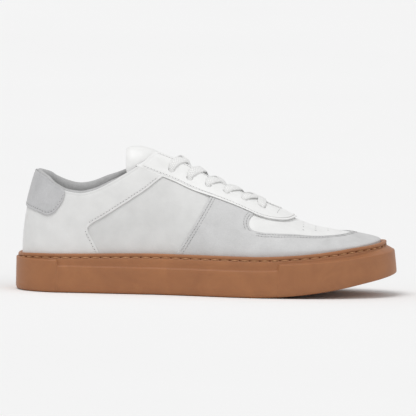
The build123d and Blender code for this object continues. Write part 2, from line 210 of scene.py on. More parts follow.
# ---------------------------------------------------------------- materials


def srgb(code):
    """Linear colour of a hex code."""
    values = [int(code[i:i + 2], 16) / 255 for i in (0, 2, 4)]
    return [v / 12.92 if v < 0.04045 else ((v + 0.055) / 1.055) ** 2.4 for v in values] + [1]


def node(tree, kind, links=(), **settings):
    """Adds a node. Settings with a name like in_Scale set inputs, and links are (input, socket)."""
    made = tree.nodes.new(kind)
    for key, value in settings.items():
        if key.startswith("in_"):
            made.inputs[key[3:].replace("_", " ")].default_value = value
        else:
            setattr(made, key, value)
    for target, source in links:
        tree.links.new(source, made.inputs[target])
    return made


def new_material(name, **surface):
    """A material with its shader's plain sockets set, and (tree, shader, object coordinates)."""
    material = bpy.data.materials.new(name)
    material.use_nodes = True
    tree = material.node_tree
    shader = tree.nodes["Principled BSDF"]
    for key, value in surface.items():
        shader.inputs[key.replace("_", " ")].default_value = value
    place_node = node(tree, "ShaderNodeTexCoord")
    return material, tree, shader, place_node.outputs["Object"]


def colour_by(tree, shader, factor, *stops):
    """Base colour that runs between two (position, hex) stops with a texture's value."""
    tones = node(tree, "ShaderNodeValToRGB", [("Fac", factor)])
    for element, (position, code) in zip(tones.color_ramp.elements, stops):
        element.position = position
        element.color = srgb(code)
    tree.links.new(tones.outputs["Color"], shader.inputs["Base Color"])


def relief(tree, shader, height, depth_mm, strength, below=None):
    """Bump of a real depth, over another bump if given."""
    links = [("Height", height)] + ([("Normal", below)] if below else [])
    bump = node(tree, "ShaderNodeBump", links, in_Distance=depth_mm * MM, in_Strength=strength)
    tree.links.new(bump.outputs["Normal"], shader.inputs["Normal"])
    return bump.outputs["Normal"]


def per_metre(size_mm):
    """Texture scale for a pattern of this size."""
    return 1 / (size_mm * MM)


def smooth_leather(name, light, dark, grain_mm=0.9):
    """Finished full-grain leather: an even pigment coat over a fine pebble, with a soft shine."""
    material, tree, shader, at = new_material(
        name, Roughness=0.42, Specular_IOR_Level=0.45, Coat_Weight=0.08, Coat_Roughness=0.35)
    mottle = node(tree, "ShaderNodeTexNoise", [("Vector", at)],
                  in_Scale=per_metre(14), in_Detail=4.0, in_Roughness=0.55)
    colour_by(tree, shader, mottle.outputs["Fac"], (0.3, dark), (0.7, light))
    pebble = node(tree, "ShaderNodeTexVoronoi", [("Vector", at)], feature="SMOOTH_F1",
                  in_Scale=per_metre(grain_mm), in_Smoothness=0.6)
    under = relief(tree, shader, pebble.outputs["Distance"], 0.05, 0.5)
    creases = node(tree, "ShaderNodeTexNoise", [("Vector", at)],
                   in_Scale=per_metre(4.5), in_Detail=6.0, in_Roughness=0.65)
    relief(tree, shader, creases.outputs["Fac"], 0.22, 0.5, under)
    rough = node(tree, "ShaderNodeMapRange", [("Value", mottle.outputs["Fac"])])
    rough.inputs["To Min"].default_value = 0.36
    rough.inputs["To Max"].default_value = 0.52
    tree.links.new(rough.outputs["Result"], shader.inputs["Roughness"])
    return material


def suede(name, light, dark):
    """Buffed split leather: a matt velvety nap, brushed lighter and darker in patches."""
    material, tree, shader, at = new_material(
        name, Roughness=0.95, Specular_IOR_Level=0.2, Sheen_Weight=0.25, Sheen_Roughness=0.5)
    nap = node(tree, "ShaderNodeTexNoise", [("Vector", at)],
               in_Scale=per_metre(1.1), in_Detail=6.0, in_Roughness=0.75)
    patches = node(tree, "ShaderNodeTexNoise", [("Vector", at)],
                   in_Scale=per_metre(16), in_Detail=2.0, in_Distortion=0.6)
    both = node(tree, "ShaderNodeMix", [("A", nap.outputs["Fac"]), ("B", patches.outputs["Fac"])],
                in_Factor=0.45)
    colour_by(tree, shader, both.outputs["Result"], (0.32, dark), (0.66, light))
    fibres = node(tree, "ShaderNodeTexNoise", [("Vector", at)],
                  in_Scale=per_metre(0.45), in_Detail=3.0)
    under = relief(tree, shader, fibres.outputs["Fac"], 0.12, 0.7)
    relief(tree, shader, nap.outputs["Fac"], 0.15, 0.5, under)
    return material


def gum_rubber():
    """Pressed gum rubber: translucent-looking amber brown, satin, with faint mould flow."""
    material, tree, shader, at = new_material(
        "gum_rubber", Roughness=0.5, Specular_IOR_Level=0.4, Subsurface_Weight=0.06,
        Subsurface_Scale=0.003)
    shader.inputs["Subsurface Radius"].default_value = (1.0, 0.45, 0.2)
    flow = node(tree, "ShaderNodeTexNoise", [("Vector", at)],
                in_Scale=per_metre(22), in_Detail=5.0, in_Roughness=0.6, in_Distortion=0.8)
    colour_by(tree, shader, flow.outputs["Fac"], (0.3, "966340"), (0.7, "A36D46"))
    skin = node(tree, "ShaderNodeTexNoise", [("Vector", at)],
                in_Scale=per_metre(0.7), in_Detail=3.0)
    relief(tree, shader, skin.outputs["Fac"], 0.06, 0.6)
    return material


def shaded_hole(name, code):
    """Painted shade for the inside of a needle hole or a punched perforation: matt and dark."""
    material, tree, shader, at = new_material(name, Roughness=0.8, Specular_IOR_Level=0.1)
    spots = node(tree, "ShaderNodeTexNoise", [("Vector", at)], in_Scale=per_metre(1.0))
    colour_by(tree, shader, spots.outputs["Fac"], (0.3, code), (0.7, code))
    return material


def woven_textile(name, light, dark, thread_mm=0.8):
    """Knitted or woven polyester: small rounded stitches in rows, quite matt."""
    material, tree, shader, at = new_material(
        name, Roughness=0.9, Specular_IOR_Level=0.2, Sheen_Weight=0.2, Sheen_Roughness=0.6)
    loops = node(tree, "ShaderNodeTexVoronoi", [("Vector", at)], in_Scale=per_metre(thread_mm),
                 in_Randomness=0.35)
    fuzz = node(tree, "ShaderNodeTexNoise", [("Vector", at)],
                in_Scale=per_metre(3.0), in_Detail=5.0)
    both = node(tree, "ShaderNodeMix",
                [("A", loops.outputs["Distance"]), ("B", fuzz.outputs["Fac"])], in_Factor=0.5)
    colour_by(tree, shader, both.outputs["Result"], (0.15, light), (0.75, dark))
    relief(tree, shader, loops.outputs["Distance"], -0.2, 0.8)
    return material


def lace_weave():
    """Flat tubular braid in bright cotton: yarns cross at a slant in small bumps."""
    material, tree, shader, _ = new_material(
        "lace_cotton", Roughness=0.85, Specular_IOR_Level=0.2, Sheen_Weight=0.2)
    cloth = node(tree, "ShaderNodeUVMap", uv_map="UVMap").outputs["UV"]
    slants = []
    for turn in (38, -38):
        turned = node(tree, "ShaderNodeMapping", [("Vector", cloth)])
        turned.inputs["Rotation"].default_value = (0, 0, radians(turn))
        yarn = node(tree, "ShaderNodeTexWave", [("Vector", turned.outputs["Vector"])],
                    in_Scale=per_metre(1.1) * 0.314, in_Distortion=0.3)
        slants.append(yarn.outputs["Fac"])
    braid = node(tree, "ShaderNodeMath", [(0, slants[0]), (1, slants[1])], operation="MULTIPLY")
    colour_by(tree, shader, braid.outputs["Value"], (0.0, "E0E0DF"), (0.5, "FAFAF9"))
    relief(tree, shader, braid.outputs["Value"], 0.25, 0.9)
    return material


def thread(name, light, dark):
    """Twisted sewing thread: fine slanting plies."""
    material, tree, shader, at = new_material(name, Roughness=0.65, Specular_IOR_Level=0.3)
    plies = node(tree, "ShaderNodeTexNoise", [("Vector", at)],
                 in_Scale=per_metre(0.6), in_Detail=2.0)
    colour_by(tree, shader, plies.outputs["Fac"], (0.35, dark), (0.65, light))
    relief(tree, shader, plies.outputs["Fac"], 0.1, 0.6)
    return material


def plain_sheet(name, light, dark, grain_mm, **surface):
    """A hidden sheet or foam: a fine even grain in two close tones."""
    material, tree, shader, at = new_material(name, **surface)
    grain = node(tree, "ShaderNodeTexNoise", [("Vector", at)],
                 in_Scale=per_metre(grain_mm), in_Detail=4.0)
    colour_by(tree, shader, grain.outputs["Fac"], (0.35, dark), (0.65, light))
    relief(tree, shader, grain.outputs["Fac"], 0.15, 0.5)
    return material


# Coated full-grain leather reads as an even near-white with a soft shine. The quarters' leather is
# darker, painted shade of their hollow sides under the facing, and the vamp's is lighter, painted
# light falling from above on its top. The tongue and the facing come from other hides, so each is a
# tone apart, and the soft tongue has the coarser grain.
WHITE_LEATHER = smooth_leather("white_coated_leather", "E2E2E1", "D9D9D8")
SHADED_QUARTER_LEATHER = smooth_leather("quarter_leather_painted_shade", "D9D9D8", "CFCFCE")
LIT_VAMP_LEATHER = smooth_leather("vamp_leather_painted_light", "ECECEB", "E4E4E3")
TONGUE_LEATHER = smooth_leather("white_soft_leather", "EFEFEE", "E6E6E5", 1.1)
FACING_LEATHER = smooth_leather("white_facing_leather", "F0F0EF", "E8E8E7", 0.8)
# Split leather buffed to a nap has no shine, and shows lighter and darker where it was brushed.
GREY_SUEDE = suede("light_grey_suede", "D5D5D5", "C1C1C1")
HEEL_SUEDE = suede("mid_grey_suede", "C9C9CA", "B3B3B4")
# Pressed natural rubber is an amber brown that light enters a little way.
GUM_RUBBER = gum_rubber()
# Dark colours of painted shade: inside the sole's needle holes, and inside the upper's needle holes
# and perforations.
SOLE_HOLE_SHADE = shaded_hole("needle_hole_shade_brown", "6E412A")
UPPER_HOLE_SHADE = shaded_hole("perforation_shade", "858587")
# Waxed thread through the sole is thick and tan, and bonded thread in the upper thin and pale.
SOLE_THREAD = thread("tan_waxed_thread", "C4946C", "A87953")
WHITE_THREAD = thread("white_bonded_thread", "F2F2F0", "D0D0CE")
GREY_THREAD = thread("grey_bonded_thread", "DADAD9", "B2B2B1")
# Knitted and woven polyester inside: matt grey loops, coarser on the footbed.
LINING = woven_textile("grey_knit_lining", "C9C9C9", "A9A9A9")
FOOTBED = woven_textile("footbed_textile", "D2D2D0", "B5B5B3", 1.1)
TAPE = woven_textile("woven_backer_tape", "E0E0DE", "C4C4C2", 0.6)
# Braided cotton, and the hard glossy film of its tips.
LACE_COTTON = lace_weave()
TIP_FILM = plain_sheet("lace_tip_film", "F2F2F0", "E2E2E0", 3, Roughness=0.2, IOR=1.49)
# Hidden layers: closed-cell and open-cell foam, pressed fibre board and thermoplastic sheet.
EVA = plain_sheet("eva_foam", "E4E3DE", "D6D5CF", 0.8, Roughness=0.85)
PU_FOAM = plain_sheet("open_cell_foam", "E2DEC8", "C9C4AC", 1.2, Roughness=0.95)
BOARD = plain_sheet("fibre_board", "CDB896", "B9A27E", 1.5, Roughness=0.9)
STIFFENER = plain_sheet("stiffener_sheet", "DCD6C6", "CBC4B2", 2, Roughness=0.6)


# ---------------------------------------------------------------- mesh helpers


def place(point):
    """A millimetre point as a metre one."""
    return Vector(point) * MM


def make_piece(name, bm, material, body=SHOE, stands_for=()):
    """Turns a bmesh into a smooth-shaded piece that rides a body."""
    mesh = bpy.data.meshes.new(name)
    bm.to_mesh(mesh)
    bm.free()
    mesh.polygons.foreach_set("use_smooth", [True] * len(mesh.polygons))
    mesh.materials.append(material)
    piece = bpy.data.objects.new(name, mesh)
    bpy.context.scene.collection.objects.link(piece)
    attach(piece, body)
    if stands_for:
        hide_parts(*stands_for)
    return piece


def thicken(piece, thickness_mm):
    """Gives a skin its thickness, inwards."""
    solid = piece.modifiers.new("thickness", "SOLIDIFY")
    solid.thickness = thickness_mm * MM
    solid.offset = -1.0


def face_out(bm, normal, direction):
    """Turns the faces round if a normal goes against the direction it should have."""
    if normal.dot(direction) < 0:
        bmesh.ops.reverse_faces(bm, faces=bm.faces)
    return bm


def close_up(bm, gap_mm):
    """Merges a rolled grid along its seam, fills its ends and points its faces outwards."""
    bmesh.ops.remove_doubles(bm, verts=bm.verts, dist=gap_mm * MM)
    bmesh.ops.holes_fill(bm, edges=[e for e in bm.edges if e.is_boundary])
    bmesh.ops.recalc_face_normals(bm, faces=bm.faces)
    return bm


def swell(value, power):
    """A cosine or sine made fuller or flatter by a power, with its sign kept."""
    return (1 if value > 0 else -1) * abs(value) ** power


# ---------------------------------------------------------------- lines and panels


def stand_up(x, across):
    """The facing and the tongue under it stand a little higher at the back of the throat."""
    return 4.4 * step(x, -66, -36) * (1 - step(x, -30, 14)) * (1 - step(abs(across), 12.5, 20.5))


def on_top(x, across, inset):
    """Point of a layer at x and a signed distance from the middle line, lateral below zero."""
    half = reach(x, -1 if across < 0 else 1) - inset
    share = min(abs(across) / half, 1) ** PLAN_POWER
    out = min((end_turn(x, inset) ** PLAN_POWER + share) ** (1 / PLAN_POWER), 1)
    rise = (1 - out**ARCH_POWER_Y) ** (1 / ARCH_POWER_Z)
    height = feather(x) + (crest(x) - inset - feather(x)) * rise
    return Vector((x, spine(x) + across, height + stand_up(x, across)))


def outward(surface, a, b, inset):
    """Direction away from the foot at a surface position."""
    da, db = (0.3, 0.003) if surface is on_foot else (0.3, 0.3)
    normal = (surface(a + da, b, inset) - surface(a - da, b, inset)).cross(
        surface(a, b + db, inset) - surface(a, b - db, inset))
    away = surface(a, b, inset - 1) - surface(a, b, inset + 1)
    if normal.length < 1e-9:
        return away.normalized()
    return normal.normalized() * (1 if normal.dot(away) > 0 else -1)


class Line:
    """A smooth line through given surface positions, read at 0 to 1 of its real length."""

    def __init__(self, points, surface, inset):
        self.fine = []
        last = len(points) - 1
        for i in range(last):
            a, b = Vector(points[i]), Vector(points[i + 1])
            before = Vector(points[i - 1]) if i else a
            after = Vector(points[i + 2]) if i < last - 1 else b
            for k in range(30):
                f = k / 30
                leave, arrive = (b - before) / 2, (after - a) / 2
                self.fine.append(a * (2 * f**3 - 3 * f**2 + 1) + leave * (f**3 - 2 * f**2 + f)
                                 + b * (3 * f**2 - 2 * f**3) + arrive * (f**3 - f**2))
        self.fine.append(Vector(points[-1]))
        spots = [surface(p.x, p.y, inset) for p in self.fine]
        self.surface, self.inset = surface, inset
        self.walked = [0.0]
        for a, b in zip(spots, spots[1:]):
            self.walked.append(self.walked[-1] + (b - a).length)
        self.length = self.walked[-1]

    def at(self, share):
        """Surface position at a share of the length."""
        goal = min(max(share, 0), 1) * self.length
        i = min(bisect_right(self.walked, goal), len(self.walked) - 1)
        span = self.walked[i] - self.walked[i - 1]
        return self.fine[i - 1].lerp(self.fine[i], (goal - self.walked[i - 1]) / max(span, 1e-9))

    def spots(self):
        """Real points along the line, close enough to measure from."""
        count = int(self.length / 0.15) + 1
        return [self.surface(*self.at(k / count), self.inset) for k in range(count + 1)]


def flat_line(points):
    """A smooth line on a plain sheet, for a profile or a run of widths."""
    return Line(points, lambda a, b, inset: Vector((a, b, 0)), 0)


def grid(columns, rows):
    """A flat grid of that many cells each way, and its vertices by (column, row)."""
    bm = bmesh.new()
    bmesh.ops.create_grid(bm, x_segments=columns, y_segments=rows, size=1, calc_uvs=True)
    spots = {}
    for v in bm.verts:
        spots[round((v.co.x + 1) / 2 * columns), round((v.co.y + 1) / 2 * rows)] = v
    return bm, spots


EDGE_TICKS = (0, 0.12, 0.3, 0.55, 0.9, 1.3, 1.8, 2.3, 2.8, 3.4, 4.2)
EDGE_ROUNDING, PANEL_CELL = 0.5, 1.6
CHANNEL_DEPTH, CHANNEL_HALF = 0.25, 0.8


def ticks(length, cell):
    """Shares of a length: close together at the cut edges, then about a cell apart."""
    near = [n * min(length / 16, 1) for n in EDGE_TICKS]
    count = max(int((length - 2 * near[-1]) / cell), 2)
    gap = (length - 2 * near[-1]) / count
    middle = [near[-1] + gap * k for k in range(1, count)]
    return [v / length for v in near + middle + [length - n for n in reversed(near)]]


class Panel:
    """A cut piece of leather between four smooth lines, on the foot shape."""

    def __init__(self, bottom, top, left, right, surface, inset):
        self.bottom, self.top, self.left, self.right = [
            Line(points, surface, inset) for points in (bottom, top, left, right)]
        self.surface, self.inset = surface, inset
        self.columns = ticks(max(self.bottom.length, self.top.length), PANEL_CELL)
        self.rows = ticks(max(self.left.length, self.right.length), PANEL_CELL)

    def at(self, u, v):
        """Surface position inside the outline."""
        sides = self.left.at(v) * (1 - u) + self.right.at(v) * u
        ends = self.bottom.at(u) * (1 - v) + self.top.at(u) * v
        low = self.bottom.at(0) * (1 - u) + self.bottom.at(1) * u
        high = self.top.at(0) * (1 - u) + self.top.at(1) * u
        return sides + ends - low * (1 - v) - high * v

    def inside(self, edge, distance):
        """read(share) along the bottom or top edge, a set distance in from it."""
        def read(share):
            def across(depth):
                return self.at(share, depth if edge == "bottom" else 1 - depth)
            near = self.surface(*across(0), self.inset)
            depth = 0.02
            for _ in range(4):
                gap = (self.surface(*across(depth), self.inset) - near).length
                depth = min(depth * distance / max(gap, 1e-4), 0.5)
            return across(depth)
        return read

    def mesh(self, cut, channels, sink=None):
        """The skin as a bmesh, with its cut edges rounded over and stitch channels pressed in."""
        columns, rows = len(self.columns) - 1, len(self.rows) - 1
        bm, spots = grid(columns, rows)
        tree = nearest_tree([p for name in cut for p in getattr(self, name).spots()])
        for (i, j), v in spots.items():
            a, b = self.at(self.columns[i], self.rows[j])
            point = self.surface(a, b, self.inset)
            drop = edge_drop(tree.find(point)[2], channels) + (sink(point) if sink else 0)
            v.co = place(point - outward(self.surface, a, b, self.inset) * drop)
        bm.normal_update()
        i, j = columns // 2, rows // 2
        position = self.at(self.columns[i], self.rows[j])
        return face_out(bm, spots[i, j].normal, outward(self.surface, *position, self.inset))


def edge_drop(gap, channels):
    """How far a skin dips at a distance from its cut edge: a rounded edge and stitch channels."""
    short = max(EDGE_ROUNDING - gap, 0)
    drop = EDGE_ROUNDING - sqrt(max(EDGE_ROUNDING**2 - short**2, 0))
    return drop + sum(CHANNEL_DEPTH * max(0, 1 - abs(gap - channel) / CHANNEL_HALF) ** 2
                      for channel in channels)


def nearest_tree(points):
    """A search tree that finds the nearest of these points."""
    tree = KDTree(len(points))
    for i, point in enumerate(points):
        tree.insert(point, i)
    tree.balance()
    return tree


HEART_HEIGHT = 45


def stepped_skin(us, vs, position, missing, cut, inset, channels):
    """A skin with a corner of its grid left out, for an outline that turns inwards."""
    columns, rows = len(us) - 1, len(vs) - 1
    bm, spots = grid(columns, rows)
    tree = nearest_tree([p for line in cut for p in line.spots()])
    for (i, j), v in spots.items():
        s, t = position(us[i], vs[j])
        point = on_foot(s, t, inset)
        drop = edge_drop(tree.find(point)[2], channels)
        v.co = place(point - outward(on_foot, s, t, inset) * drop)
    gone = []
    for (i, j), v in spots.items():
        if i < columns and j < rows and missing((us[i] + us[i + 1]) / 2, (vs[j] + vs[j + 1]) / 2):
            corners = {spots[i, j], spots[i + 1, j], spots[i, j + 1], spots[i + 1, j + 1]}
            gone += [face for face in v.link_faces if set(face.verts) == corners]
    bmesh.ops.delete(bm, geom=gone, context="FACES")
    bm.normal_update()
    face = max(bm.faces, key=lambda f: f.calc_area())
    middle = face.calc_center_median() / MM
    heart = Vector((middle.x, spine(middle.x), HEART_HEIGHT))
    return face_out(bm, face.normal, middle - heart)


def spread(parts):
    """Joins runs of (start, stop, length in mm, cell) into one rising list of shares."""
    shares = []
    for start, stop, length, cell in parts:
        shares += [start + (stop - start) * tick for tick in ticks(length, cell)[:-1]]
    return shares + [parts[-1][1]]


STITCHES = {"white": [], "grey": []}
NEEDLE_HOLE_SHADES = []
STITCH_WIDTH, STITCH_HEIGHT = 0.62, 0.05
NEEDLE_SIZE, NEEDLE_DEPTH = 0.7, 0.1


def stitch_row(read, surface, inset, kind, start=0.0, stop=1.0, pitch=2.6, length=1.7):
    """Adds a row of stitches along read(share), which gives surface positions, and a dark mark of
    painted shade in the needle hole after each.
    """
    shares = [start + (stop - start) * k / 300 for k in range(301)]
    spots = [surface(*read(share), inset) for share in shares]
    walked, due = 0.0, pitch / 2
    for a, b, share in zip(spots, spots[1:], shares):
        run = (b - a).length
        while walked + run >= due:
            normal = outward(surface, *read(share), inset)
            along = (b - a).normalized()
            along = (along - normal * along.dot(normal)).normalized()
            point = a.lerp(b, (due - walked) / run) + normal * STITCH_HEIGHT
            STITCHES[kind].append((point, along, normal, length, STITCH_WIDTH))
            NEEDLE_HOLE_SHADES.append((point + along * pitch / 2 - normal * NEEDLE_DEPTH,
                                 along, normal, NEEDLE_SIZE, NEEDLE_SIZE))
            due += pitch
        walked += run


def stitch_piece(name, stitches, material, thickness=0.55, stands_for=()):
    """All the stitches of one thread, each a small rounded bar."""
    bm = bmesh.new()
    for point, along, normal, length, width in stitches:
        across = normal.cross(along)
        turn = Matrix((along, across, normal)).transposed().to_4x4()
        size = Matrix.Diagonal((length / 2 * MM, width / 2 * MM, thickness / 2 * MM, 1))
        bmesh.ops.create_uvsphere(bm, u_segments=6, v_segments=4, radius=1,
                                  matrix=Matrix.Translation(place(point)) @ turn @ size)
    bmesh.ops.recalc_face_normals(bm, faces=bm.faces)
    return make_piece(name, bm, material, stands_for=stands_for)


# ---------------------------------------------------------------- the upper's leather

# Pattern lines as (x, height) on the side, and the window's as (x, share of the half width).
LATERAL_TOPLINE = [(-132.6, 93.5), (-129, 90), (-122, 84.6), (-113, 80), (-105, 78.3), (-99, 78),
                   (-91, 79.9), (-83, 83.4), (-73, 89), (-64, 94.5), (-57, 99), (-50, 104)]
MEDIAL_TOPLINE = [(-132.6, 93.5), (-128, 90.9), (-121, 87), (-113, 83.6), (-105, 81.4), (-99, 81),
                  (-91, 82.6), (-83, 86), (-73, 90.4), (-64, 95), (-57, 99.4), (-50, 104)]
HEEL_TAB_EDGE = [(-112.6, 78.6), (-113.9, 72.3), (-118.2, 65.6), (-121.6, 61.9), (-125.6, 60.3),
                 (-128.7, 60.6), (-135.7, 63.1), (-143.3, 65.8)]
HEEL_PANEL_EDGE = [(-31, 94.4), (-46.6, 83.4), (-58.6, 75.2), (-69, 68.3), (-80, 61), (-90.9, 54.3),
                   (-94.3, 50.5), (-92.9, 46.6), (-89, 39.3), (-85.4, 32.5)]
MUDGUARD_REAR = [(5, 86), (1.8, 77.5), (-3.7, 67), (-9.7, 56.3), (-16, 45.5), (-22.9, 34.5)]
WINDOW_REAR = [(36.7, 0.866), (34.2, 0.852), (32.7, 0.82), (32.4, 0.78), (33.2, 0.73), (35.0, 0.67),
               (37.0, 0.60)]
WINDOW_LOW = [(36.7, 0.866), (44, 0.866), (53, 0.845), (73, 0.745), (93, 0.60), (104, 0.445),
              (111, 0.21)]
# The facing's outlines are (x, distance from the middle line).
STAY_EDGE = [(-57.5, 20.5), (-47, 20.8), (-35.7, 21.5), (-24.8, 22.8), (-13.6, 24.9), (2.3, 27.6),
             (18, 30.2), (32, 33), (39, 34.6), (46, 34.8), (53, 33.4), (60, 29.7), (65.4, 23),
             (69, 12), (70.5, 0)]
STAY_REAR = [(-57.5, 20.5), (-54, 19.2), (-50, 17.4), (-46.5, 15.3), (-43.5, 13.4), (-41.5, 11.9)]
THROAT_EDGE = [(-41.5, 11.9), (-30, 11.5), (0, 10.6), (30, 9.6), (45, 9.1), (50, 8.3),
               (53.5, 6.4), (55.8, 3.2), (56.5, 0)]
HEEL_CENTRE = HALF_TRACK

# Rows of stitches, as distances in from each piece's cut edge.
TAB_SEAM, PANEL_SEAM, STAY_SEAM, THROAT_SEAM, SUEDE_SEAMS = 2.2, 2.0, 2.3, 2.0, (1.8, 3.9)


def both_sides(points):
    """Lateral (s, t) points round the toe or the heel to the same ones on the medial side."""
    s, t = points[-1]
    turned = 2 * HALF_TRACK if s > HALF_TRACK / 2 else 0
    return points + [(turned - s, t) for s, t in reversed(points[:-1])]


topline = [from_side(x, z, OVERLAY) for x, z in LATERAL_TOPLINE]
topline[0] = (HEEL_CENTRE, topline[0][1])
medial_topline = [from_side(x, z, OVERLAY) for x, z in MEDIAL_TOPLINE]
medial_topline = [(2 * HEEL_CENTRE - s, t) for s, t in medial_topline]
medial_topline[0] = topline[0]
tab_edge = [from_side(x, z) for x, z in HEEL_TAB_EDGE]
tab_edge[-1] = (HEEL_CENTRE, tab_edge[-1][1])
tab_bottom = both_sides(tab_edge)
tab_bottom[-1] = (tab_bottom[-1][0], medial_topline[3][1] - 0.02)
heel_tab_panel = Panel(
    tab_bottom, topline[3:0:-1] + medial_topline[:4], [tab_bottom[0], topline[3]],
    [tab_bottom[-1], medial_topline[3]], on_foot, 0.0)
heel_tab = make_piece("heel_tab_suede", heel_tab_panel.mesh(["bottom", "top"], [TAB_SEAM]),
                      HEEL_SUEDE, stands_for=["heel_tab"])
thicken(heel_tab, LEATHER)
stitch_row(heel_tab_panel.inside("bottom", TAB_SEAM), on_foot, 0.0, "grey", 0.02, 0.98)

# Where the heel panel's grid steps in at its front corner, and the topline's share there. The
# grid's lowest row lies behind the sole's rim.
COLUMN_BREAK, ROW_BREAK, TOPLINE_BREAK = 0.4, 0.3, 0.47
BEHIND_RIM, HEEL_STEP = -0.08, 0.24
TRACK_NUDGE, HEIGHT_NUDGE = 0.5, 0.005


def offset_row(line, distance, inside):
    """Positions a set distance from a line, towards a point well inside the panel."""
    def read(share):
        a, b = line.at(max(share - 0.004, 0)), line.at(min(share + 0.004, 1))
        spot = line.at(share)
        here = line.surface(*spot, line.inset)
        along = line.surface(*b, line.inset) - line.surface(*a, line.inset)
        inwards = outward(line.surface, *spot, line.inset).cross(along).normalized()
        if inwards.dot(inside - here) < 0:
            inwards = -inwards
        level_move, up_move = [
            line.surface(spot.x + ds, spot.y + dt, line.inset) - here
            for ds, dt in ((TRACK_NUDGE, 0), (0, HEIGHT_NUDGE))]
        ss, tt = level_move.dot(level_move), up_move.dot(up_move)
        st = level_move.dot(up_move)
        ws, wt = inwards.dot(level_move) * distance, inwards.dot(up_move) * distance
        scale = ss * tt - st * st
        return Vector((spot.x + TRACK_NUDGE * (ws * tt - wt * st) / scale,
                       spot.y + HEIGHT_NUDGE * (wt * ss - ws * st) / scale))
    return read


def medial(line, mirror=0.0):
    """The same line on the medial side, mirrored at the toe or, with a value given, at the heel."""
    return Line([(mirror - p.x, p.y) for p in line.fine[::6] + [line.fine[-1]]], on_foot, OVERLAY)


slope_line = Line([from_side(x, z, OVERLAY) for x, z in HEEL_PANEL_EDGE[:7]], on_foot, OVERLAY)
lower_points = [from_side(x, z, OVERLAY) for x, z in HEEL_PANEL_EDGE[6:]]
lower_line = Line([(lower_points[-1][0] - 1.5, BEHIND_RIM)] + lower_points[::-1], on_foot, OVERLAY)
heel_columns = spread([(0, COLUMN_BREAK, 66, 2.2), (COLUMN_BREAK, 1, 70, 2.2)])
heel_rows = spread([(0, ROW_BREAK, 24, 2.4), (ROW_BREAK, 1, 34, 2.2)])
for side, name in ((1, "lateral_heel_panel"), (-1, "medial_heel_panel")):
    upper = topline if side > 0 else [(2 * HEEL_CENTRE - s, t) for s, t in medial_topline]
    top_line = Line(list(reversed(upper)), on_foot, OVERLAY)

    def heel_position(u, v, top_line=top_line, side=side):
        """Surface position in the panel: above its slanting front edge, or down to the sole."""
        if u < COLUMN_BREAK:
            low = slope_line.at(u / COLUMN_BREAK)
            high = top_line.at(TOPLINE_BREAK * u / COLUMN_BREAK)
        else:
            w = (u - COLUMN_BREAK) / (1 - COLUMN_BREAK)
            low = lower_line.at(1) * (1 - w) + Vector((HEEL_CENTRE, HEEL_STEP)) * w
            high = top_line.at(TOPLINE_BREAK + (1 - TOPLINE_BREAK) * w)
        if v > ROW_BREAK:
            spot = low.lerp(high, (v - ROW_BREAK) / (1 - ROW_BREAK))
        else:
            rise = v / ROW_BREAK
            w = max(u - COLUMN_BREAK, 0) / (1 - COLUMN_BREAK)
            foot = lower_line.at(0) * (1 - w) + Vector((HEEL_CENTRE, BEHIND_RIM)) * w
            bend = lower_line.at(rise) - lower_line.at(0).lerp(lower_line.at(1), rise)
            spot = foot.lerp(low, rise) + bend * (1 - w)
        return (spot.x if side > 0 else 2 * HEEL_CENTRE - spot.x), spot.y

    cut_lines = [slope_line, lower_line, top_line]
    if side < 0:
        cut_lines = [medial(line, 2 * HEEL_CENTRE) for line in cut_lines]
    piece = make_piece(
        name + "_leather",
        stepped_skin(heel_columns, heel_rows, heel_position,
                     lambda u, v: u < COLUMN_BREAK and v < ROW_BREAK,
                     cut_lines, OVERLAY, [PANEL_SEAM]),
        WHITE_LEATHER, stands_for=[name])
    thicken(piece, LEATHER)
    inside = Vector((-112, -side * 30, 62))
    for line, start, stop in ((cut_lines[0], 0.12, 0.95), (cut_lines[1], 0.28, 0.97)):
        stitch_row(offset_row(line, PANEL_SEAM, inside), on_foot, OVERLAY, "white", start, stop)

# Where the suede's grid steps round the window, its row behind the sole's rim, and the window's
# foremost point.
SUEDE_BREAK, SUEDE_ROW, SUEDE_FOOT, WINDOW_TIP = 0.22, 0.42, -0.06, 114.4
rear = [from_side(x, z, OVERLAY) for x, z in reversed(MUDGUARD_REAR)]
rear_line = Line([(rear[0][0] + 2.5, SUEDE_FOOT)] + rear, on_foot, OVERLAY)
window_sides = [[from_above(x, share * (reach(x, -1) - OVERLAY), OVERLAY) for x, share in outline]
                for outline in (WINDOW_REAR, WINDOW_LOW)]
window_rear = Line(window_sides[0], on_foot, OVERLAY)
window_tip = (0, from_above(WINDOW_TIP, 0.0, OVERLAY)[1])
window_low = Line(both_sides(window_sides[1] + [window_tip]), on_foot, OVERLAY)
suede_columns = spread([(0, SUEDE_BREAK, 52, 2.4), (SUEDE_BREAK, 1 - SUEDE_BREAK, 290, 2.6),
                        (1 - SUEDE_BREAK, 1, 52, 2.4)])
suede_rows = spread([(0, SUEDE_ROW, 30, 2.4), (SUEDE_ROW, 1, 34, 2.4)])
window_foot = Vector((window_low.at(0).x - 1.0, SUEDE_FOOT))


def suede_position(u, v):
    """Surface position in the suede: full height behind the window, and below it further on."""
    if u > 0.5:
        s, t = suede_position(1 - u, v)
        return -s, t
    if u < SUEDE_BREAK + 1e-6:
        if v < SUEDE_ROW:
            front = window_foot.lerp(window_low.at(0), v / SUEDE_ROW)
        else:
            front = window_rear.at((v - SUEDE_ROW) / (1 - SUEDE_ROW))
        return tuple(rear_line.at(v).lerp(front, u / SUEDE_BREAK))
    w = (u - SUEDE_BREAK) / (1 - 2 * SUEDE_BREAK)
    foot = Vector((window_foot.x * (1 - 2 * w), SUEDE_FOOT))
    return tuple(foot.lerp(window_low.at(w), min(v / SUEDE_ROW, 1)))


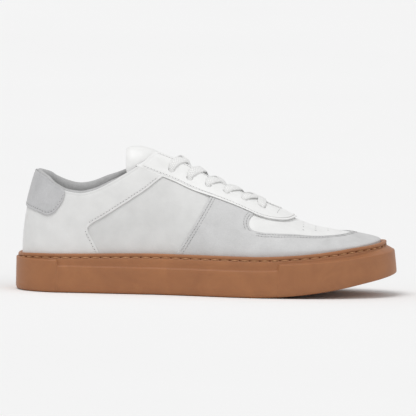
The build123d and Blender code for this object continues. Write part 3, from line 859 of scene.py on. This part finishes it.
suede_cuts = [rear_line, window_rear, medial(rear_line), medial(window_rear), window_low]
mudguard = make_piece(
    "forefoot_suede",
    stepped_skin(suede_columns, suede_rows, suede_position,
                 lambda u, v: SUEDE_BREAK < u < 1 - SUEDE_BREAK and v > SUEDE_ROW,
                 suede_cuts, OVERLAY, SUEDE_SEAMS),
    GREY_SUEDE, stands_for=["forefoot_overlay"])
thicken(mudguard, LEATHER)
for distance in SUEDE_SEAMS:
    for line, side in zip(suede_cuts, (-1, -1, 1, 1)):
        inside = Vector((18, side * 50, 48))
        window_side = line in (suede_cuts[1], suede_cuts[3])
        stitch_row(offset_row(line, distance, inside), on_foot, OVERLAY, "grey",
                   distance / line.length if window_side else 0.1, 0.75 if window_side else 0.9)
    for start, stop, inside in ((0.01, 0.3, (60, -80, 0)), (0.3, 0.7, (150, 0, 0)),
                                (0.7, 0.99, (60, 80, 0))):
        stitch_row(offset_row(window_low, distance, Vector(inside)), on_foot, OVERLAY, "grey",
                   start, stop)


def stay_sink(point):
    """The facing lies down on the quarter behind the suede."""
    return 1.0 * (1 - step(point.x, -14, 6)) * step(abs(point.y - spine(point.x)), 14, 19)


stay_outer = [(x, -w) for x, w in STAY_EDGE] + [(x, w) for x, w in reversed(STAY_EDGE[:-1])]
stay_inner = [(x, -w) for x, w in THROAT_EDGE] + [(x, w) for x, w in reversed(THROAT_EDGE[:-1])]
stay_panel = Panel(stay_outer, stay_inner, [(x, -w) for x, w in STAY_REAR], STAY_REAR,
                   on_top, 0.0)
stay = make_piece("eyestay_leather",
                  stay_panel.mesh(["bottom", "top", "left", "right"], [STAY_SEAM], stay_sink),
                  FACING_LEATHER, stands_for=["eyestay"])
thicken(stay, FACING)
for edge, distance in (("bottom", STAY_SEAM), ("top", THROAT_SEAM)):
    stitch_row(stay_panel.inside(edge, distance), on_top, 0.0, "white", 0.01, 0.99)


def eyelet(number, side):
    """(x, distance from the middle line) of an eyelet, counted from the toe."""
    return (EYELET_FRONT - EYELET_PITCH * number,
            side * (EYELET_SPREAD + EYELET_SPREAD_STEP * number))


eyelets = [eyelet(number, side) for number in range(EYELETS) for side in (-1, 1)]
bm = bmesh.new()
for x, across in eyelets:
    direction = outward(on_top, x, across, 0.0)
    turn = direction.to_track_quat("Z", "Y").to_matrix().to_4x4()
    bmesh.ops.create_cone(
        bm, cap_ends=True, segments=24, radius1=EYELET_RADIUS * MM, radius2=EYELET_RADIUS * MM,
        depth=PUNCH_DEPTH * MM, matrix=Matrix.Translation(place(on_top(x, across, 2.0))) @ turn)
punch = make_piece("punch", bm, FACING_LEATHER)
punching = stay.modifiers.new("eyelets", "BOOLEAN")
punching.object, punching.operation, punching.solver = punch, "DIFFERENCE", "EXACT"
stay.data = bpy.data.meshes.new_from_object(
    stay.evaluated_get(bpy.context.evaluated_depsgraph_get()))
stay.modifiers.clear()
bpy.data.objects.remove(punch)
stay.data.polygons.foreach_set("use_smooth", [True] * len(stay.data.polygons))

# a bar of close stitches across the facing at the front of the throat, on each side
for side in (-1, 1):
    stitch_row(lambda share, side=side: Vector((57.2 - 2.2 * share, side * (7 + 15 * share))),
               on_top, 0.0, "white", pitch=1.8, length=1.3)

# Dark discs of painted shade in the vamp's rows of perforations.
PERFORATION_ROWS, PERFORATION_GAP, PERFORATION_WIDTH = (75.5, 85.2, 94.9, 104.6), 7.6, 1.8
perforation_shades = []
for row_number, x in enumerate(PERFORATION_ROWS):
    holes = 9 - 2 * row_number
    for i in range(holes):
        across = PERFORATION_GAP * (i - (holes - 1) / 2)
        up = outward(on_top, x, across, BASE)
        along = Vector((1, 0, 0)).cross(up).cross(up).normalized()
        perforation_shades.append((on_top(x, across, BASE) - up * 0.35, along, up,
                             PERFORATION_WIDTH, PERFORATION_WIDTH))
stitch_piece("perforation_shade", perforation_shades, UPPER_HOLE_SHADE, 0.5)

# ---------------------------------------------------------------- collar and tongue

# (depth under the quarter, way down from the topline), from the rolled top to the bottom inside
COLLAR_SECTION = [(-0.4, 1.6), (-0.8, 0.4), (-0.6, -0.9), (0.3, -2.2), (1.8, -3.1), (3.6, -3.2),
                  (5.4, -2.5), (6.7, -1.0), (7.4, 1.0), (7.8, 4), (7.9, 9), (7.6, 15), (6.4, 22),
                  (4.8, 30), (3.8, 38), (3.5, 44)]


def padded_collar():
    """Foam under a knit lining: it rolls over the top edge and runs down inside."""
    line = Line(topline[-3:0:-1] + medial_topline[:-2], on_foot, BASE)
    columns, rows = 150, 48
    bm, spots = grid(columns, rows)
    section = flat_line(COLLAR_SECTION)
    for (i, j), v in spots.items():
        s, t = line.at(i / columns)
        deep, down = section.at(j / rows)
        ends = step(min(i, columns - i) / columns, 0, 0.1)
        deep = 0.6 + (deep - 0.6) * (0.35 + 0.65 * ends)
        edge_point = on_foot(s, t, BASE)
        below = on_foot(s, t - 0.01, BASE)
        slope = (below - edge_point).length / 0.01
        fall = t - max(down, 0) / slope
        point = on_foot(s, fall, BASE + deep)
        if down < 0:
            point = point + (edge_point - below).normalized() * (-down * (0.5 + 0.5 * ends))
        v.co = place(point)
    bm.normal_update()
    i = columns // 4
    return face_out(bm, spots[i, 0].normal, outward(on_foot, *line.at(i / columns), BASE))


collar = make_piece("padded_collar", padded_collar(), LINING,
                    stands_for=["collar_lining", "collar_foam"])
thicken(collar, 0.8)

# (x, half width) from the free end to the seam under the vamp
TONGUE_WIDTHS = [(-64, 12.0), (-62.5, 14.5), (-58, 15.8), (-50, 16.0), (-30, 16.0), (-10, 17.0),
                 (10, 19.0), (50, 20.6), (62, 19.5), (64.5, 17.0)]


def padded_tongue():
    """A soft leather tongue: a crowned pad whose edges pull in to a seam."""
    around, rows = 56, 90
    bm, spots = grid(around, rows)
    widths = flat_line(TONGUE_WIDTHS)
    for (i, j), v in spots.items():
        x, width = widths.at(j / rows)
        angle = 2 * pi * i / around
        end = sqrt(max(step(x, -64.2, -59) * (1 - step(x, 58, 65)), 0.02))
        across = width * swell(cos(angle), 0.7)
        lift = 2.5 * end * sin(angle) * (1 - 0.35 * (across / width) ** 4)
        seam = 0.35 * max(0, 1 - abs(abs(across) - width + 3.2) / 0.9) ** 2 if lift > 0 else 0
        rise = (1.6 + 3.6 * step(x, -66, -48)) * (1 - step(x, -42, -18))
        v.co = place(on_top(x, across * 0.98, (TONGUE_TOP + TONGUE_BOTTOM) / 2 - lift + seam)
                     + Vector((-0.6 * rise, 0, rise)))
    return close_up(bm, 0.01)


tongue = make_piece("padded_tongue", padded_tongue(), TONGUE_LEATHER, TONGUE,
                    ["tongue_face", "tongue_foam", "tongue_lining"])

# ---------------------------------------------------------------- lace

LACE_ABOVE, LACE_BELOW, LACE_OVER, LACE_UNDER = -1.5, 7.6, 0.6, 4.6
LACE_WIDTH, LACE_THICKNESS = 7.4, 1.9
# How far each run leans along the shoe: over the facing, under it, and at the crossing.
LEAN_OVER, LEAN_UNDER, LEAN_CROSSING = 8.6, -1, -3
LACE_TAIL = [(-42, 22, 60), (-45, 21.5, 42), (-35, 21, 27), (-16, 21.5, 22), (8, 24, 21.9),
             (32, 26, 21.9), (52, 27, 22.6)]


def strand(first_side, centre):
    """Route from the middle of the front bar, through the eyelets, to the tail in the shoe."""
    edge_of_throat = THROAT_HALF + 1
    route = [on_top(EYELET_FRONT, first_side * edge_of_throat, LACE_ABOVE)]
    for number in range(EYELETS):
        side = first_side * (-1) ** number
        x, across = eyelet(number, side)
        if number:
            route.append(on_top(x + LEAN_OVER, side * edge_of_throat, LACE_ABOVE))
        route += [on_top(x, across, LACE_ABOVE), on_top(x, across, LACE_BELOW)]
        if number < EYELETS - 1:
            route.append(on_top(x + LEAN_UNDER, side * edge_of_throat, LACE_BELOW))
            route.append(on_top(x + LEAN_CROSSING, side * 0.01, centre))
    route.append(on_top(x - 5, side * 21.5, LACE_BELOW))
    return route + [Vector((x, side * y, z)) for x, y, z in LACE_TAIL]


lace_route = list(reversed(strand(-1, LACE_OVER))) + strand(1, LACE_UNDER)
curve = bpy.data.curves.new("lace_line", "CURVE")
curve.dimensions = "3D"
curve.resolution_u = 10
spline = curve.splines.new("NURBS")
spline.points.add(len(lace_route) - 1)
for target, point in zip(spline.points, lace_route):
    target.co = (*place(point), 1)
spline.order_u = 3
spline.use_endpoint_u = True
lace_line = bpy.data.objects.new("lace_line", curve)
bpy.context.scene.collection.objects.link(lace_line)
centres = [v.co / MM for v in bpy.data.meshes.new_from_object(
    lace_line.evaluated_get(bpy.context.evaluated_depsgraph_get())).vertices]
bpy.data.objects.remove(lace_line)


def lace_ribbon():
    """A flat braid along the route, drawn in where it goes through each eyelet."""
    holes = nearest_tree([on_top(x, across, 2.4) for x, across in eyelets])
    around, rows = 16, len(centres) - 1
    bm, spots = grid(around, rows)
    cloth = bm.loops.layers.uv.new("UVMap")
    normal, walked, frames = Vector((0, 0, 1)), 0.0, []
    for k, centre in enumerate(centres):
        tangent = (centres[min(k + 1, rows)] - centres[max(k - 1, 0)]).normalized()
        normal = (normal - tangent * normal.dot(tangent)).normalized()
        if centre.z > 62:
            goal = outward(on_top, centre.x, centre.y - spine(centre.x), 0.0)
        else:
            goal = Vector((0, 1, 0)) if centre.z > 28 else Vector((0, 0, 1))
        if abs(goal.dot(tangent)) < 0.75:
            goal = (goal - tangent * goal.dot(tangent)).normalized()
            goal = -goal if goal.dot(normal) < 0 else goal
            normal = normal.lerp(goal, 0.35).normalized()
        pull = max(0, 1 - (holes.find(centre)[2] / 4.5) ** 2)
        if k:
            walked += (centre - centres[k - 1]).length
        width, thick = LACE_WIDTH * (1 - 0.38 * pull), LACE_THICKNESS * (1 + 0.3 * pull)
        frames.append((tangent, normal, width, thick, walked))
    for (i, j), v in spots.items():
        tangent, normal, width, thick, _ = frames[j]
        angle = 2 * pi * i / around
        flat = swell(cos(angle), 0.7) * width / 2
        high = swell(sin(angle), 0.8) * thick / 2
        v.co = place(centres[j] + normal.cross(tangent) * flat + normal * high)
        for loop in v.link_loops:
            loop[cloth].uv = (i / around * 2 * LACE_WIDTH * MM, frames[j][4] * MM)
    return close_up(bm, 0.005)


make_piece("flat_lace", lace_ribbon(), LACE_COTTON, stands_for=["lace"])

# ---------------------------------------------------------------- sole

# Levels as (height, radius of the toe spring), and growths beyond the foot as (sides, heel, toe).
GROUND, TREAD, LEDGE = (0, 390), (1.5, 388.5), (21, 400)
HEEL_PANEL_TOP, TOE_PANEL_TOP = (25.6, 400), (26.2, 640)
GROOVE_LOW, GROOVE_HIGH = (28.3, 500), (29.9, 500)
LIP, WALL = (2.2, 2.0, 3.5), (4.0, 2.9, 10.0)
HEEL_RAISED, TOE_RAISED = (4.6, 3.5, 10.0), (4.6, 3.5, 12.0)
HEEL_RAISED_FRONT, TOE_RAISED_REAR = -117.6, 56.5


def mix(a, b, share):
    """Values a share of the way from a to b."""
    return [p + (q - p) * share for p, q in zip(a, b)]


def dip(s, x):
    """How far the rim comes down along and round the heel and at the tip of the toe."""
    low = 1.7 * (1 - step(x, -125, -40))
    if x < HEEL_TURN:
        return low + 2.2 * (1 - edge_shares(track_side(s)[1])[1])
    return low + 1.6 * step(x, 112, 141)


def sole_section(s):
    """(growth, height) pairs of the rubber cup's section, from its inner lip to the outsole."""
    x = plan(s, 1, *WALL)[0]
    x_lip = plan(s, 1, *LIP)[0]
    at_heel = 1 - step(x, HEEL_RAISED_FRONT - 0.8, HEEL_RAISED_FRONT + 0.8)
    at_toe = step(x, TOE_RAISED_REAR - 0.8, TOE_RAISED_REAR + 0.8)
    nose = step(edge_shares(track_side(s)[1])[0], 0.7, 1.0) if x > 0 else 0.0
    wall = mix(mix(WALL, HEEL_RAISED, at_heel), TOE_RAISED, at_toe)
    ledge = level(x, LEDGE)
    ledge += ((level(x, HEEL_PANEL_TOP) - ledge) * at_heel
              + (level(x, TOE_PANEL_TOP) - ledge) * at_toe)
    rim, high, low = [level(x_lip, curve) - dip(s, x_lip)
                      for curve in (RIM, GROOVE_HIGH, GROOVE_LOW)]
    ledge -= 1.3 * nose
    bottom = level(x, GROUND) - 0.6 * nose
    crown = [value - 1.9 * nose for value in wall]
    sharp = 1 - 0.55 * nose

    def out(base, extra):
        return [value + extra for value in base]

    def lip(extra, height):
        return out(LIP, extra), height

    def foot(shrink, height):
        return out(wall, -shrink), bottom + height

    shelf = ledge + (low - 0.25 - ledge) * nose
    wall_height = bottom + 2.6 - ledge + 0.85
    section = [lip(-6.4, rim - 4.5), lip(-4.6, rim - 1.6), lip(-2.6, rim - 0.15), lip(-1.5, rim),
               lip(-0.7, rim - 0.08), lip(-0.2, rim - 0.4), lip(0, rim - 0.95),
               lip(0, high + 0.35), lip(-0.18, high), lip(-0.6, high - 0.3), lip(-0.6, low + 0.3),
               lip(-0.18, low), lip(0, low - 0.35), lip(0, shelf + (low - 0.35 - shelf) * 0.5),
               lip(0, shelf + 0.6), lip(0.2, shelf + 0.15),
               (mix(LIP, crown, 0.45), ledge + (shelf - ledge) * 0.6),
               (out(crown, -0.75), ledge + (shelf - ledge) * 0.12),
               (out(crown, -0.2), ledge - 0.22), (crown, ledge - 0.85)]
    section += [(mix(crown, wall, share), ledge - 0.85 + wall_height * share)
                for share in (0.25, 0.5, 0.75)]
    section += [foot(0, 2.6 * sharp), foot(0.5 * sharp, 1.2 * sharp),
                foot(1.4 * sharp, 0.3 * sharp), foot(2.6, 0), foot(7.5, 0), foot(8.1, 0.5),
                foot(8.4, 1.5)]
    return section


def sole_tracks():
    """Track positions all round: even, and close together at the raised panels' ends."""
    even = [2 * HALF_TRACK * k / 360 for k in range(360)]
    for x in (HEEL_RAISED_FRONT, TOE_RAISED_REAR):
        lateral = min([s for s in even if s <= HALF_TRACK],
                      key=lambda s: abs(plan(s, 1, *WALL)[0] - x))
        fine = [lateral + d for d in (-2.4, -1.6, -1.1, -0.7, -0.35, 0, 0.35, 0.7, 1.1, 1.6, 2.4)]
        even = [s for s in even if min(abs(s - lateral), abs(2 * HALF_TRACK - s - lateral)) > 2.6]
        even += fine + [2 * HALF_TRACK - s for s in fine]
    return sorted(even)


def rubber_cup():
    """The cup's section carried round the track, and the outsole's web that closes it below."""
    tracks = sole_tracks()
    sections = [sole_section(s) for s in tracks]
    outs = [0.93, 0.8, 0.6, 0.4, 0.2, 0.04]
    rows = len(sections[0]) - 1 + len(outs)
    bm, spots = grid(len(tracks), rows)
    for (i, j), v in spots.items():
        i = i % len(tracks)
        section = sections[i]
        if j < len(section):
            growth, height = section[j]
            x, y = plan(tracks[i], 1, *growth)
        else:
            x, y = plan(tracks[i], outs[j - len(section)], *section[-1][0])
            height = level(x, TREAD)
        v.co = place((x, y, height))
    bmesh.ops.remove_doubles(bm, verts=bm.verts, dist=0.00003)
    bmesh.ops.recalc_face_normals(bm, faces=bm.faces)
    lowest = min(bm.faces, key=lambda f: f.calc_center_median().z)
    return face_out(bm, lowest.normal, Vector((0, 0, -1)))


make_piece("rubber_cupsole", rubber_cup(), GUM_RUBBER, stands_for=["cupsole"])


TREAD_PITCH, TREAD_SLANT, TREAD_HALF = 11.0, 0.45, 2.6


def tread_bars():
    """Chevron bars, pointing forwards, from rim to rim of the outsole."""
    bm = bmesh.new()
    for number in range(-13, 12):
        middle = number * TREAD_PITCH
        for side in (-1, 1):
            limit = 1.0
            while limit < 60:
                x = middle - TREAD_SLANT * limit
                turn = end_turn(x, -2.0) if abs(x) > 40 else 0
                if turn >= 0.93 or limit > (
                        (reach(x, side) - 3.0) * (1 - turn**PLAN_POWER) ** (1 / PLAN_POWER)):
                    break
                limit += 0.5
            if limit < 5:
                continue
            made = bmesh.ops.create_grid(bm, x_segments=10, y_segments=1, size=1)
            for v in made["verts"]:
                across = (v.co.x + 1) / 2 * limit
                x = middle - TREAD_SLANT * across + v.co.y * TREAD_HALF
                v.co = place((x, spine(x) + side * across, level(x, GROUND) + 0.02))
    bmesh.ops.remove_doubles(bm, verts=bm.verts, dist=0.00001)
    for face in bm.faces:
        face.normal_update()
        if face.normal.z > 0:
            face.normal_flip()
    return bm


tread = make_piece("tread_bars", tread_bars(), GUM_RUBBER)
thicken(tread, 1.6)
rounded = tread.modifiers.new("rounded", "BEVEL")
rounded.width, rounded.segments, rounded.limit_method = 0.0004, 2, "ANGLE"


SOLE_PITCH = 7.9


def sole_stitches():
    """Waxed thread in the groove under the rim, and dark marks of painted shade in the needle holes
    between the stitches.
    """
    track = [2 * HALF_TRACK * k / 1500 for k in range(1501)]
    row = [Vector((*plan(s, 1, *[g - 0.42 for g in LIP]), 0)) for s in track]
    for s, p in zip(track, row):
        p.z = (level(p.x, GROOVE_HIGH) + level(p.x, GROOVE_LOW)) / 2 - dip(s, p.x)
    total = sum((b - a).length for a, b in zip(row, row[1:]))
    pitch = total / round(total / SOLE_PITCH)
    stitches, holes, walked, due = [], [], 0.0, 0.0
    for a, b in zip(row, row[1:]):
        run = (b - a).length
        while walked + run >= due and due < total - pitch / 4:
            along = (b - a).normalized()
            away = along.cross(Vector((0, 0, 1))).normalized()
            away = -away if away.dot(a - Vector((0, 0, a.z))) < 0 else away
            point = a.lerp(b, (due - walked) / run)
            half = round(due / (pitch / 2))
            if half % 2:
                holes.append((point - away * 0.12, along, away, 1.5, 1.25))
            else:
                stitches.append((point + away * 0.12, along, away, 5.7, 1.05))
            due += pitch / 2
        walked += run
    return stitches, holes


thread_row, hole_shade_row = sole_stitches()
stitch_piece("sole_thread_row", thread_row, SOLE_THREAD, 0.9, ["sole_stitching"])
# dark marks of painted shade in the sole's needle holes
stitch_piece("sole_needle_hole_shade", hole_shade_row, SOLE_HOLE_SHADE, 0.35)

# ---------------------------------------------------------------- seams, hidden parts and finish

stitch_piece("white_stitches", STITCHES["white"], WHITE_THREAD)
stitch_piece("grey_stitches", STITCHES["grey"], GREY_THREAD)
# dark marks of painted shade in the needle holes of the upper's seams
stitch_piece("upper_needle_hole_shade", NEEDLE_HOLE_SHADES, UPPER_HOLE_SHADE, 0.3)

FINISHES = {
    "white_leather": WHITE_LEATHER, "grey_suede": GREY_SUEDE, "heel_suede": HEEL_SUEDE,
    "gum_rubber": GUM_RUBBER, "sole_thread": SOLE_THREAD, "eva_foam": EVA,
    "fibre_board": BOARD, "footbed_textile": FOOTBED, "lining_textile": LINING,
    "pu_foam": PU_FOAM, "stiffener": STIFFENER, "backer_tape": TAPE,
    "lace_cotton": LACE_COTTON, "lace_tip_film": TIP_FILM,
    # nodes whose leather is a shade off the rest of their slot: painted shade on the quarters,
    # painted light on the vamp
    "lateral_quarter": SHADED_QUARTER_LEATHER, "medial_quarter": SHADED_QUARTER_LEATHER, "vamp": LIT_VAMP_LEATHER,
}
for row in frame["record"]["subparts"]:
    shown = frame["nodes"].get(row["node"])
    if shown:
        shown.data.materials.clear()
        shown.data.materials.append(FINISHES.get(row["node"]) or FINISHES[row["material_slot"]])

# ---------------------------------------------------------------- stage, light and camera


def stage_material():
    """An even pale sweep that keeps the shoe's shadow."""
    material, tree, shader, at = new_material("pale_sweep", Roughness=0.9, Specular_IOR_Level=0.0)
    faint = node(tree, "ShaderNodeTexNoise", [("Vector", at)], in_Scale=2.0)
    colour_by(tree, shader, faint.outputs["Fac"], (0.3, "F6F6F6"), (0.7, "F7F7F7"))
    return material


bm = bmesh.new()
bmesh.ops.create_grid(bm, x_segments=2, y_segments=2, size=30)
bmesh.ops.translate(bm, verts=bm.verts, vec=(0, 0, -0.0002))
floor_mesh = bpy.data.meshes.new("floor")
bm.to_mesh(floor_mesh)
bm.free()
floor_mesh.materials.append(stage_material())
floor = bpy.data.objects.new("floor", floor_mesh)
bpy.context.scene.collection.objects.link(floor)

world = bpy.data.worlds.new("soft_room")
bpy.context.scene.world = world
world.use_nodes = True
sky = world.node_tree
background = sky.nodes["Background"]
background.inputs["Color"].default_value = srgb("F3F3F3")
rays = node(sky, "ShaderNodeLightPath")
seen = node(sky, "ShaderNodeMath", [(0, rays.outputs["Is Camera Ray"]),
                                    (1, rays.outputs["Is Glossy Ray"])], operation="MAXIMUM")
strength = node(sky, "ShaderNodeMapRange", [("Value", seen.outputs["Value"])])
strength.inputs["To Min"].default_value = 0.56
strength.inputs["To Max"].default_value = 1.0
sky.links.new(strength.outputs["Result"], background.inputs["Strength"])


def soft_sun(name, energy, angle, azimuth, elevation):
    """A broad soft light from a bearing (degrees, 0 in front) and a height above the floor."""
    lamp = bpy.data.lights.new(name, "SUN")
    lamp.energy = energy
    lamp.angle = radians(angle)
    source = bpy.data.objects.new(name, lamp)
    bpy.context.scene.collection.objects.link(source)
    towards = Vector((sin(radians(azimuth)) * cos(radians(elevation)),
                      -cos(radians(azimuth)) * cos(radians(elevation)), sin(radians(elevation))))
    source.rotation_euler = towards.to_track_quat("Z", "Y").to_euler()


soft_sun("key", energy=1.38, angle=35, azimuth=-35, elevation=64)
soft_sun("fill", energy=0.45, angle=60, azimuth=50, elevation=35)

VIEW_CENTRE, VIEW_WIDTH, VIEW_DISTANCE = Vector((0.2, -45, 69.6)), 326.6, 12000.0
VIEW_TILT, VIEW_ROLL, SENSOR = radians(4.5), radians(1.15), 36
camera_data = bpy.data.cameras.new("camera")
camera_data.sensor_width = SENSOR
camera_data.lens = SENSOR * VIEW_DISTANCE / VIEW_WIDTH
camera_data.clip_end = 100
camera = bpy.data.objects.new("camera", camera_data)
bpy.context.scene.collection.objects.link(camera)
towards_camera = Vector((0, -cos(VIEW_TILT), sin(VIEW_TILT)))
camera.matrix_world = (
    Matrix.Translation(place(VIEW_CENTRE + VIEW_DISTANCE * towards_camera))
    @ Matrix.Rotation(pi / 2 - VIEW_TILT, 4, "X") @ Matrix.Rotation(VIEW_ROLL, 4, "Z"))
bpy.context.scene.camera = camera
bpy.context.scene.view_settings.view_transform = "Standard"
